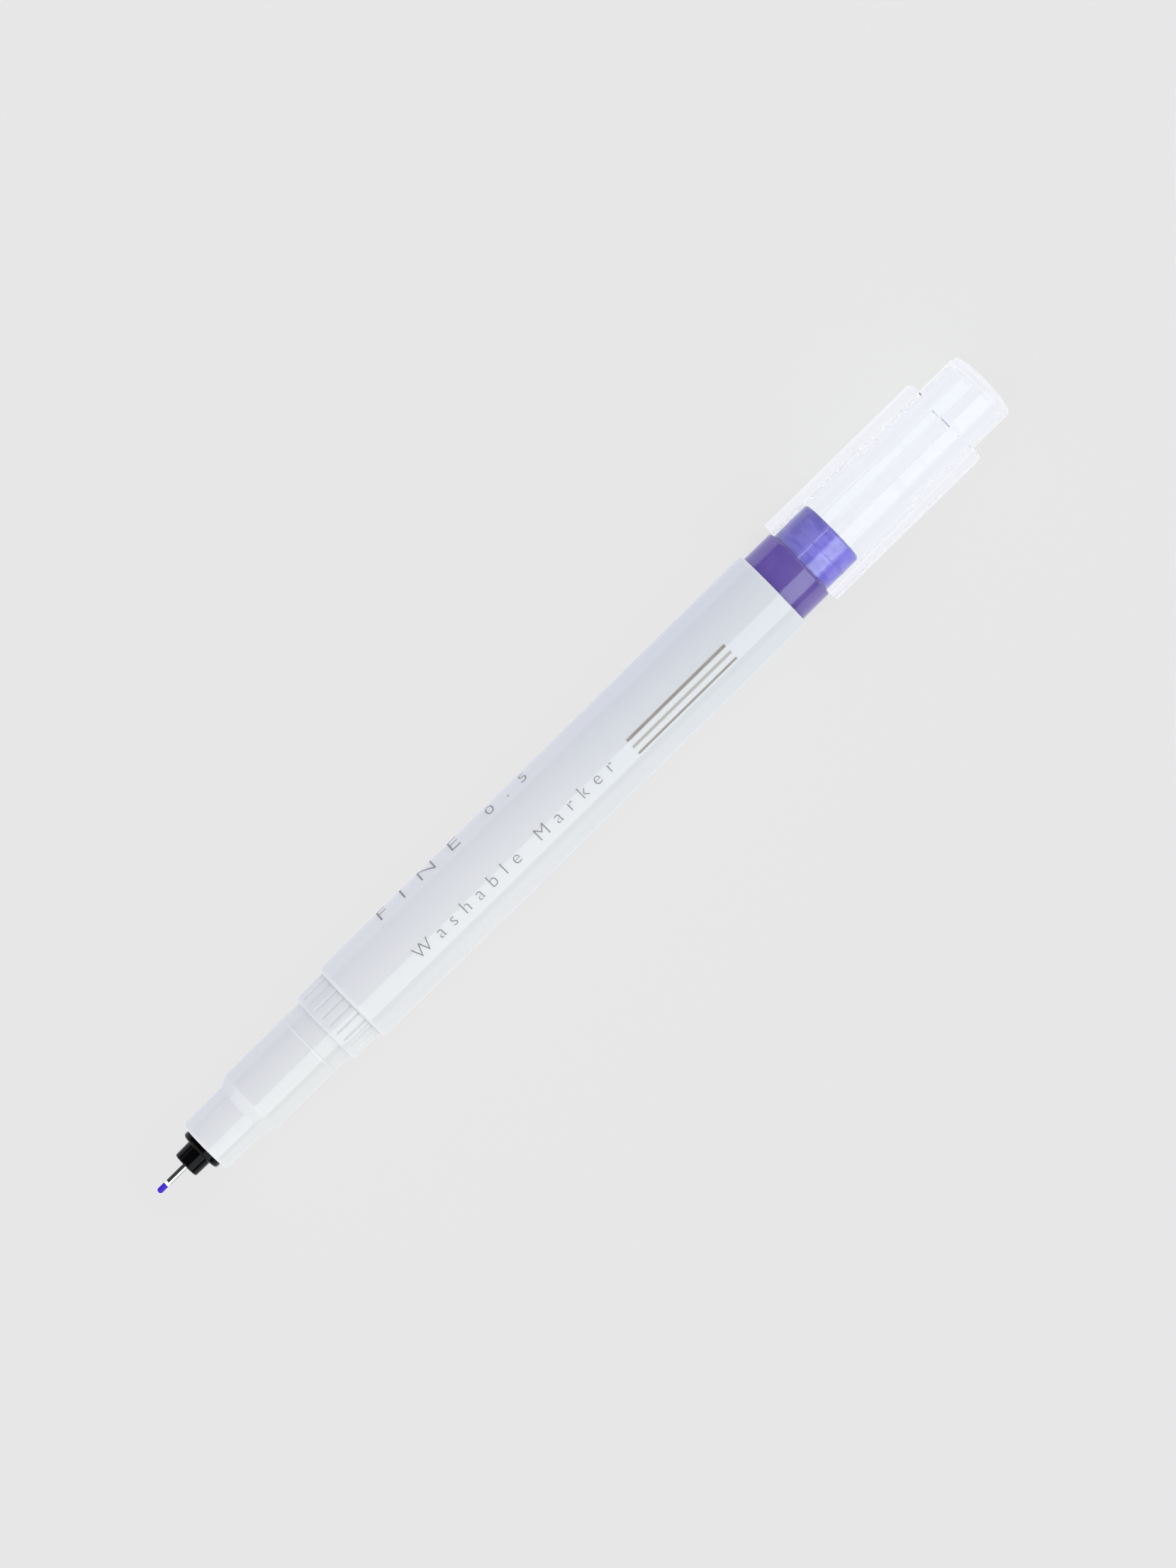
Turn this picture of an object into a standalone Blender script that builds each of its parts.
"""A fabric marking pen lying on its side, with its clear cap pushed onto the tail.

Every turned piece is drawn about local Z, which runs from the nib to the tail, and the
empty "pen_axis" lays that axis along world +X. Stations along the pen are counted from
the barrel's front edge. The pen rests on z = 0 on the lowest of the cap's four fins, and
the world origin is on that floor, halfway along the pen.
"""

import math

import bmesh
import bpy
from mathutils import Matrix, Vector

MM = 0.001

# Barrel
BARREL_LENGTH = 78.0 * MM
BARREL_WALL = 1.1 * MM
BARREL_FRONT_ROUND = 0.9 * MM
BARREL_TAIL_ROUND = 0.3 * MM

# Spigots, pressed into the barrel at both ends
SPIGOT_WALL = 0.95 * MM
SECTION_SPIGOT_LENGTH = 9.0 * MM
PLUG_SPIGOT_LENGTH = 7.0 * MM

# Front section: grooved collar, smooth section, shoulder and nose
COLLAR_LENGTH = 4.8 * MM
COLLAR_STEP = 0.6 * MM
COLLAR_ROUND = 0.2 * MM
GROOVE_COUNT = 24
GROOVE_DEPTH = 0.25 * MM
GROOVE_LIP = 0.55 * MM
SECTION_TURN = math.radians(2.2)
SECTION_LENGTH = 13.75 * MM
SECTION_WALL = 0.8 * MM
SHOULDER_LENGTH = 1.6 * MM
SHOULDER_STEP = 0.775 * MM
NOSE_LENGTH = 6.95 * MM
NOSE_DRAFT = 0.075 * MM
NOSE_ROUND = 0.35 * MM

# Snap bead, the same on the section and on the tail plug's stub
BEAD_OFFSET = 2.85 * MM
BEAD_RAMP = 1.0 * MM
BEAD_HEIGHT = 0.1 * MM

# Nib holder
HOLDER_DIAMETER = 3.95 * MM
HOLDER_LENGTH = 2.6 * MM
HOLDER_ROUND = 0.25 * MM
HOLDER_SPIGOT_DIAMETER = 5.1 * MM
HOLDER_SPIGOT_LENGTH = 7.5 * MM
HOLDER_SPIGOT_LEAD = 0.4 * MM
FLANGE_STEP = 0.5 * MM
FLANGE_THICKNESS = 0.9 * MM
FLANGE_ROUND = 0.45 * MM

# Nib and its steel sleeve
NIB_DIAMETER = 0.82 * MM
NIB_EXPOSED = 1.45 * MM
NIB_IN_RESERVOIR = 6.0 * MM
SLEEVE_WALL = 0.12 * MM
SLEEVE_EXPOSED = 3.15 * MM
SLEEVE_CRIMP = 0.43 * MM
SLEEVE_LIP = 0.04 * MM
SLEEVE_DEPTH = 6.5 * MM

# Ink reservoir and its wrap
RESERVOIR_DIAMETER = 7.6 * MM
WRAP_WALL = 0.15 * MM
WRAP_SETBACK = 1.0 * MM

# Tail plug
RING_LENGTH = 4.9 * MM
RING_STEP = 0.65 * MM
RING_ROUND = 0.3 * MM
STUB_LENGTH = 6.05 * MM
STUB_ROUND = 0.55 * MM
PLUG_SEAT_DEPTH = 4.0 * MM
PLUG_SEAT_STEP = 0.65 * MM
PLUG_END_WALL = 1.2 * MM

# Cap
CAP_MOUTH_WALL = 0.55 * MM
CAP_MOUTH_ROUND = 0.12 * MM
CAP_WAIST_WALL = 0.4 * MM
CAP_SIDE_WALL = 0.7 * MM
CAP_END_WALL = 1.7 * MM
CAP_END_ROUND = 0.85 * MM
CAP_BARE_END = 7.4 * MM
CAP_DOME = 0.6 * MM
CAP_FLAT_DIAMETER = 3.0 * MM
CAP_TURN = math.radians(7.8)
SEAL_SETBACK = 1.5 * MM
SEAL_LENGTH = 3.55 * MM
SEAL_STEP = 0.275 * MM
FIN_COUNT = 4
FIN_HEIGHT = 1.2 * MM
FIN_WIDTH = 3.5 * MM
FIN_MOUTH_ROUND = 0.2 * MM
FIN_END_ROUND = 0.65 * MM

# Clearances
PRESS_GAP = 0.05 * MM
SEAT_GAP = 0.05 * MM
NIB_GAP = 0.04 * MM
WRAP_GAP = 0.05 * MM
RESERVOIR_PLAY = 0.15 * MM
RESERVOIR_END_PLAY = 0.3 * MM
CAP_GAP = 0.05 * MM
MOUTH_GAP = 0.1 * MM
TIP_ROOM = 1.62 * MM

# Facets
SEGMENTS = 48
SMALL_SEGMENTS = 24
ARC_STEPS = 3
SHARP_ANGLE = math.radians(35)

# Diameters that follow, from the reservoir outwards and from the nib outwards
GUIDE_BORE = RESERVOIR_DIAMETER + 2 * (WRAP_GAP + WRAP_WALL + RESERVOIR_PLAY)
SECTION_DIAMETER = GUIDE_BORE + 2 * SECTION_WALL
COLLAR_DIAMETER = SECTION_DIAMETER + 2 * COLLAR_STEP
NOSE_REAR_DIAMETER = SECTION_DIAMETER - 2 * SHOULDER_STEP
NOSE_FRONT_DIAMETER = NOSE_REAR_DIAMETER - 2 * NOSE_DRAFT
SPIGOT_DIAMETER = GUIDE_BORE + 2 * SPIGOT_WALL
BARREL_BORE = SPIGOT_DIAMETER + 2 * PRESS_GAP
BARREL_DIAMETER = BARREL_BORE + 2 * BARREL_WALL
STUB_DIAMETER = SECTION_DIAMETER
RING_DIAMETER = STUB_DIAMETER + 2 * RING_STEP
PLUG_CORE_DIAMETER = GUIDE_BORE - 2 * PLUG_SEAT_STEP
SLEEVE_BORE = NIB_DIAMETER + 2 * NIB_GAP
SLEEVE_DIAMETER = SLEEVE_BORE + 2 * SLEEVE_WALL
NOSE_BORE = HOLDER_SPIGOT_DIAMETER + 2 * PRESS_GAP
FLANGE_DIAMETER = HOLDER_SPIGOT_DIAMETER + 2 * FLANGE_STEP
CAP_BORE = SECTION_DIAMETER + 2 * (BEAD_HEIGHT + CAP_GAP)
SEAL_BORE = NOSE_REAR_DIAMETER + 2 * CAP_GAP
CAP_END_BORE = SEAL_BORE + 2 * SEAL_STEP
CAP_MOUTH_DIAMETER = CAP_BORE + 2 * CAP_MOUTH_WALL
CAP_WAIST_DIAMETER = CAP_BORE + 2 * CAP_WAIST_WALL
CAP_END_DIAMETER = CAP_END_BORE + 2 * CAP_SIDE_WALL
FIN_DIAMETER = CAP_MOUTH_DIAMETER + 2 * FIN_HEIGHT

# Stations that follow, from the nib to the tail
SHOULDER_REAR = -COLLAR_LENGTH - SECTION_LENGTH
NOSE_REAR = SHOULDER_REAR - SHOULDER_LENGTH
NOSE_FRONT = NOSE_REAR - NOSE_LENGTH
FLANGE_FRONT = NOSE_FRONT - SEAT_GAP - FLANGE_THICKNESS
HOLDER_FRONT = FLANGE_FRONT - HOLDER_LENGTH
SLEEVE_REAR = HOLDER_FRONT + SLEEVE_DEPTH
SLEEVE_SHOULDER = HOLDER_FRONT - SLEEVE_EXPOSED
SLEEVE_FRONT = SLEEVE_SHOULDER - SLEEVE_CRIMP
NIB_TIP = SLEEVE_FRONT - NIB_EXPOSED
RESERVOIR_FRONT = SHOULDER_REAR + RESERVOIR_END_PLAY
PLUG_FRONT = BARREL_LENGTH - PLUG_SPIGOT_LENGTH
RESERVOIR_REAR = PLUG_FRONT + PLUG_SEAT_DEPTH - RESERVOIR_END_PLAY
RING_REAR = BARREL_LENGTH + SEAT_GAP + RING_LENGTH

# The cap covers everything in front of the collar, and its bore steps down past the shoulder
CAP_LENGTH = -COLLAR_LENGTH - NIB_TIP + TIP_ROOM + CAP_END_WALL
CAP_MOUTH = RING_REAR + MOUTH_GAP
CAP_END = CAP_MOUTH + CAP_LENGTH
FIN_END = CAP_END - CAP_BARE_END
SEAL_FRONT = CAP_MOUTH + SECTION_LENGTH + SHOULDER_LENGTH + SEAL_SETBACK
SEAL_REAR = SEAL_FRONT + SEAL_LENGTH
CAP_WAIST = SEAL_FRONT - SHOULDER_LENGTH


def clear_scene():
    for thing in list(bpy.data.objects):
        bpy.data.objects.remove(thing, do_unlink=True)


def collection_named(name):
    made = bpy.data.collections.new(name)
    bpy.context.scene.collection.children.link(made)
    return made


def material(name, colour, roughness, metallic=0.0, transmission=0.0):
    made = bpy.data.materials.new(name)
    made.use_nodes = True
    shader = made.node_tree.nodes["Principled BSDF"]
    shader.inputs["Base Color"].default_value = (*colour, 1.0)
    shader.inputs["Roughness"].default_value = roughness
    shader.inputs["Metallic"].default_value = metallic
    shader.inputs["Transmission Weight"].default_value = transmission
    made.diffuse_color = (*colour, 1.0)
    return made


def rounded(corners):
    """Outline points from corners of (distance off the axis, station, edge round)."""
    points = []
    for index, (off_axis, station, size) in enumerate(corners):
        corner = Vector((off_axis, station))
        if size == 0:
            points.append(corner)
            continue
        before = (Vector(corners[index - 1][:2]) - corner).normalized()
        after = (Vector(corners[(index + 1) % len(corners)][:2]) - corner).normalized()
        half_angle = before.angle(after) / 2
        centre = corner + (before + after).normalized() * size / math.sin(half_angle)
        start = corner + before * size / math.tan(half_angle) - centre
        side = math.copysign(1.0, before.x * after.y - before.y * after.x)
        for step in range(ARC_STEPS + 1):
            turn = -side * (math.pi - 2 * half_angle) * step / ARC_STEPS
            points.append(centre + Matrix.Rotation(turn, 2) @ start)
    return points


def turned(name, corners, collection, segments=SEGMENTS, turn=0.0):
    """A turned piece. Its outline runs down the outer side, from the tail to the nib, and
    back up the bore; a piece closed at the tail has an outline that starts and ends on the
    axis instead."""
    points = rounded(corners)
    edges = [(index, index + 1) for index in range(len(points) - 1)]
    if corners[0][0] > 0:
        edges.append((len(points) - 1, 0))
    outline = bpy.data.meshes.new(name)
    outline.from_pydata([(point.x, 0.0, point.y) for point in points], edges, [])
    piece = bpy.data.objects.new(name, outline)
    collection.objects.link(piece)
    piece.rotation_euler.z = turn
    screw = piece.modifiers.new("turn", "SCREW")
    screw.axis = "Z"
    screw.angle = 2 * math.pi
    screw.steps = segments
    screw.render_steps = segments
    screw.use_merge_vertices = True
    screw.merge_threshold = 1e-7
    return piece


def combine(piece, other, operation):
    boolean = piece.modifiers.new(other.name, "BOOLEAN")
    boolean.operation = operation
    boolean.solver = "EXACT"
    boolean.object = other


def as_helper(thing):
    thing.hide_render = True
    thing.display_type = "WIRE"


def bead_outline(station, direction, base_radius):
    """A snap bead whose steep side faces its stop. direction is +1 where the free end is
    towards the tail and -1 where it is towards the nib; points run from tail to nib."""
    steep = station + direction * BEAD_OFFSET
    crest = steep + direction * BEAD_HEIGHT
    ramp_end = steep + direction * BEAD_RAMP
    corners = [
        (base_radius, steep, 0),
        (base_radius + BEAD_HEIGHT, crest, 0),
        (base_radius, ramp_end, 0),
    ]
    return corners if direction < 0 else corners[::-1]


def make_barrel(parts):
    outer = BARREL_DIAMETER / 2
    bore = BARREL_BORE / 2
    return turned(
        "barrel",
        [
            (outer, BARREL_LENGTH, BARREL_TAIL_ROUND),
            (outer, 0, BARREL_FRONT_ROUND),
            (bore, 0, 0),
            (bore, BARREL_LENGTH, 0),
        ],
        parts,
    )


def make_groove_cutter(helpers):
    """Square bars standing on an edge, so that each cuts a V groove along the collar."""
    collar = COLLAR_DIAMETER / 2
    half_diagonal = 2 * GROOVE_DEPTH
    length = COLLAR_LENGTH
    middle = -COLLAR_LENGTH + GROOVE_LIP + length / 2
    shape = bmesh.new()
    for index in range(GROOVE_COUNT):
        place = (
            Matrix.Rotation(2 * math.pi * index / GROOVE_COUNT, 4, "Z")
            @ Matrix.Translation((collar - GROOVE_DEPTH + half_diagonal, 0, middle))
        )
        bmesh.ops.create_cone(
            shape,
            cap_ends=True,
            segments=4,
            radius1=half_diagonal,
            radius2=half_diagonal,
            depth=length,
            matrix=place,
        )
    mesh = bpy.data.meshes.new("groove_bars")
    shape.to_mesh(mesh)
    shape.free()
    cutter = bpy.data.objects.new("groove_bars", mesh)
    helpers.objects.link(cutter)
    cutter.rotation_euler.z = SECTION_TURN
    as_helper(cutter)
    return cutter


def make_front_section(parts, helpers):
    spigot = SPIGOT_DIAMETER / 2
    section = SECTION_DIAMETER / 2
    collar = COLLAR_DIAMETER / 2
    guide = GUIDE_BORE / 2
    bore = NOSE_BORE / 2
    piece = turned(
        "front_section",
        [
            (spigot, SECTION_SPIGOT_LENGTH, 0),
            (spigot, -SEAT_GAP, 0),
            (collar, -SEAT_GAP, 0),
            (collar, -COLLAR_LENGTH, COLLAR_ROUND),
            (section, -COLLAR_LENGTH, 0),
            *bead_outline(-COLLAR_LENGTH, -1, section),
            (section, SHOULDER_REAR, 0),
            (NOSE_REAR_DIAMETER / 2, NOSE_REAR, 0),
            (NOSE_FRONT_DIAMETER / 2, NOSE_FRONT, NOSE_ROUND),
            (bore, NOSE_FRONT, 0),
            (bore, SHOULDER_REAR, 0),
            (guide, SHOULDER_REAR, 0),
            (guide, SECTION_SPIGOT_LENGTH, 0),
        ],
        parts,
        turn=SECTION_TURN,
    )
    combine(piece, make_groove_cutter(helpers), "DIFFERENCE")
    return piece


def make_nib_holder(parts):
    spigot = HOLDER_SPIGOT_DIAMETER / 2
    flange = FLANGE_DIAMETER / 2
    holder = HOLDER_DIAMETER / 2
    sleeve_bore = SLEEVE_DIAMETER / 2 + NIB_GAP
    nib_bore = SLEEVE_BORE / 2
    spigot_rear = NOSE_FRONT + HOLDER_SPIGOT_LENGTH
    flange_rear = NOSE_FRONT - SEAT_GAP
    sleeve_stop = SLEEVE_REAR + SEAT_GAP
    return turned(
        "nib_holder",
        [
            (spigot - HOLDER_SPIGOT_LEAD, spigot_rear, 0),
            (spigot, spigot_rear - HOLDER_SPIGOT_LEAD, 0),
            (spigot, flange_rear, 0),
            (flange, flange_rear, 0),
            (flange, FLANGE_FRONT, FLANGE_ROUND),
            (holder, FLANGE_FRONT, 0),
            (holder, HOLDER_FRONT, HOLDER_ROUND),
            (sleeve_bore, HOLDER_FRONT, 0),
            (sleeve_bore, sleeve_stop, 0),
            (nib_bore, sleeve_stop, 0),
            (nib_bore, spigot_rear, 0),
        ],
        parts,
        SMALL_SEGMENTS,
    )


def make_nib_sleeve(parts):
    outer = SLEEVE_DIAMETER / 2
    bore = SLEEVE_BORE / 2
    mouth = (NIB_DIAMETER + NIB_GAP) / 2
    return turned(
        "nib_sleeve",
        [
            (outer, SLEEVE_REAR, 0),
            (outer, SLEEVE_SHOULDER, 0),
            (mouth + SLEEVE_LIP, SLEEVE_FRONT, 0),
            (mouth, SLEEVE_FRONT, 0),
            (mouth, SLEEVE_FRONT + SLEEVE_CRIMP / 2, 0),
            (bore, SLEEVE_SHOULDER, 0),
            (bore, SLEEVE_REAR, 0),
        ],
        parts,
        SMALL_SEGMENTS,
    )


def make_nib(parts):
    radius = NIB_DIAMETER / 2
    rear = RESERVOIR_FRONT + NIB_IN_RESERVOIR
    return turned(
        "nib",
        [
            (0, rear, 0),
            (radius, rear, 0),
            (radius, NIB_TIP, radius * 0.95),
            (0, NIB_TIP, 0),
        ],
        parts,
        SMALL_SEGMENTS,
    )


def make_ink_reservoir(parts):
    radius = RESERVOIR_DIAMETER / 2
    socket = NIB_DIAMETER / 2 + NIB_GAP
    socket_end = RESERVOIR_FRONT + NIB_IN_RESERVOIR + SEAT_GAP
    return turned(
        "ink_reservoir",
        [
            (0, RESERVOIR_REAR, 0),
            (radius, RESERVOIR_REAR, 0),
            (radius, RESERVOIR_FRONT, 0),
            (socket, RESERVOIR_FRONT, 0),
            (socket, socket_end, 0),
            (0, socket_end, 0),
        ],
        parts,
        SMALL_SEGMENTS,
    )


def make_reservoir_wrap(parts):
    bore = RESERVOIR_DIAMETER / 2 + WRAP_GAP
    outer = bore + WRAP_WALL
    front = RESERVOIR_FRONT + WRAP_SETBACK
    rear = RESERVOIR_REAR - WRAP_SETBACK
    return turned(
        "reservoir_wrap",
        [(outer, rear, 0), (outer, front, 0), (bore, front, 0), (bore, rear, 0)],
        parts,
        SMALL_SEGMENTS,
    )


def make_tail_plug(parts):
    spigot = SPIGOT_DIAMETER / 2
    ring = RING_DIAMETER / 2
    stub = STUB_DIAMETER / 2
    guide = GUIDE_BORE / 2
    core = PLUG_CORE_DIAMETER / 2
    ring_front = BARREL_LENGTH + SEAT_GAP
    stub_end = RING_REAR + STUB_LENGTH
    seat = PLUG_FRONT + PLUG_SEAT_DEPTH
    return turned(
        "tail_plug",
        [
            (0, stub_end, 0),
            (stub, stub_end, STUB_ROUND),
            *bead_outline(RING_REAR, 1, stub),
            (stub, RING_REAR, 0),
            (ring, RING_REAR, RING_ROUND),
            (ring, ring_front, 0),
            (spigot, ring_front, 0),
            (spigot, PLUG_FRONT, 0),
            (guide, PLUG_FRONT, 0),
            (guide, seat, 0),
            (core, seat, 0),
            (core, stub_end - PLUG_END_WALL, 0),
            (0, stub_end - PLUG_END_WALL, 0),
        ],
        parts,
    )


def dome_outline(edge_radius, edge_station):
    """Points of the cap's shallow domed end, from its flat to the start of its edge round."""
    flat = CAP_FLAT_DIAMETER / 2
    steps = 3
    points = []
    for step in range(steps):
        share = step / steps
        off_axis = flat + (edge_radius - flat) * share
        points.append((off_axis, edge_station - CAP_DOME * share * share, 0))
    return points


def make_cap_fins(helpers, index):
    """One pair of opposite fins: what a bar across the axis leaves of a turned blank,
    which is rooted in the middle of the cap's wall all along."""
    mouth_root = (CAP_BORE + CAP_MOUTH_DIAMETER) / 4
    waist_root = (CAP_BORE + CAP_WAIST_DIAMETER) / 4
    end_root = (CAP_END_BORE + CAP_END_DIAMETER) / 4
    fin = FIN_DIAMETER / 2
    turn = CAP_TURN + 2 * math.pi * index / FIN_COUNT
    blank = turned(
        f"fin_pair_{index + 1}",
        [
            (end_root, FIN_END, 0),
            (fin, FIN_END, FIN_END_ROUND),
            (fin, CAP_MOUTH, FIN_MOUTH_ROUND),
            (mouth_root, CAP_MOUTH, 0),
            (waist_root, CAP_WAIST, 0),
        ],
        helpers,
        turn=turn,
    )
    shape = bmesh.new()
    size = Matrix.Diagonal((1.2 * FIN_DIAMETER, FIN_WIDTH, 1.2 * CAP_LENGTH, 1.0))
    middle = Matrix.Translation((0, 0, CAP_MOUTH + CAP_LENGTH / 2))
    bmesh.ops.create_cube(shape, size=1.0, matrix=middle @ size)
    mesh = bpy.data.meshes.new(f"fin_bar_{index + 1}")
    shape.to_mesh(mesh)
    shape.free()
    bar = bpy.data.objects.new(f"fin_bar_{index + 1}", mesh)
    helpers.objects.link(bar)
    bar.rotation_euler.z = turn
    as_helper(bar)
    as_helper(blank)
    combine(blank, bar, "INTERSECT")
    return blank


def make_cap(parts, helpers):
    mouth = CAP_MOUTH_DIAMETER / 2
    end = CAP_END_DIAMETER / 2
    bore = CAP_BORE / 2
    seal = SEAL_BORE / 2
    end_bore = CAP_END_BORE / 2
    bore_end = CAP_END - CAP_END_WALL
    piece = turned(
        "cap",
        [
            (0, CAP_END, 0),
            *dome_outline(end, CAP_END),
            (end, CAP_END - CAP_DOME, CAP_END_ROUND),
            (end, FIN_END, 0),
            (CAP_WAIST_DIAMETER / 2, CAP_WAIST, 0),
            (mouth, CAP_MOUTH, CAP_MOUTH_ROUND),
            (bore, CAP_MOUTH, CAP_MOUTH_ROUND),
            (bore, CAP_WAIST, 0),
            (seal, SEAL_FRONT, 0),
            (seal, SEAL_REAR, 0),
            (end_bore, SEAL_REAR + SEAL_STEP, 0),
            (end_bore, bore_end, 0),
            (0, bore_end, 0),
        ],
        parts,
        turn=CAP_TURN,
    )
    for index in range(FIN_COUNT // 2):
        combine(piece, make_cap_fins(helpers, index), "UNION")
    return piece


def freeze(piece, finish):
    """Turns the piece's modifiers into its mesh, shaded smooth between its sharp edges."""
    graph = bpy.context.evaluated_depsgraph_get()
    mesh = bpy.data.meshes.new_from_object(piece.evaluated_get(graph))
    mesh.name = piece.name
    shape = bmesh.new()
    shape.from_mesh(mesh)
    bmesh.ops.remove_doubles(shape, verts=shape.verts, dist=1e-7)
    shape.to_mesh(mesh)
    shape.free()
    mesh.materials.clear()
    mesh.materials.append(finish)
    mesh.shade_smooth()
    mesh.set_sharp_from_angle(angle=SHARP_ANGLE)
    return mesh


def main():
    clear_scene()
    parts = collection_named("fabric_marking_pen")
    helpers = collection_named("cutters")

    pen_axis = bpy.data.objects.new("pen_axis", None)
    parts.objects.link(pen_axis)
    pen_axis.rotation_euler.y = math.pi / 2
    pen_axis.location = (-(NIB_TIP + CAP_END) / 2, 0, FIN_DIAMETER / 2)

    white = material("white_plastic", (0.80, 0.81, 0.84), 0.3)
    pieces = [
        (make_nib(parts), material("violet_nib", (0.09, 0.02, 0.62), 0.5)),
        (make_nib_sleeve(parts), material("steel", (0.75, 0.74, 0.72), 0.2, metallic=1.0)),
        (make_nib_holder(parts), material("black_plastic", (0.006, 0.006, 0.008), 0.3)),
        (make_front_section(parts, helpers), white),
        (make_barrel(parts), white),
        (make_ink_reservoir(parts), material("ink_fibre", (0.18, 0.12, 0.45), 0.9)),
        (make_reservoir_wrap(parts), material("wrap_film", (0.75, 0.75, 0.78), 0.3)),
        (make_tail_plug(parts), material("purple_plastic", (0.14, 0.08, 0.38), 0.35)),
        (
            make_cap(parts, helpers),
            material("clear_plastic", (0.90, 0.90, 0.93), 0.1, transmission=0.9),
        ),
    ]
    bpy.context.view_layer.update()
    meshes = [freeze(piece, finish) for piece, finish in pieces]
    for (piece, _), mesh in zip(pieces, meshes):
        piece.modifiers.clear()
        piece.data = mesh
        piece.parent = pen_axis
    for helper in helpers.objects:
        helper.parent = pen_axis


main()
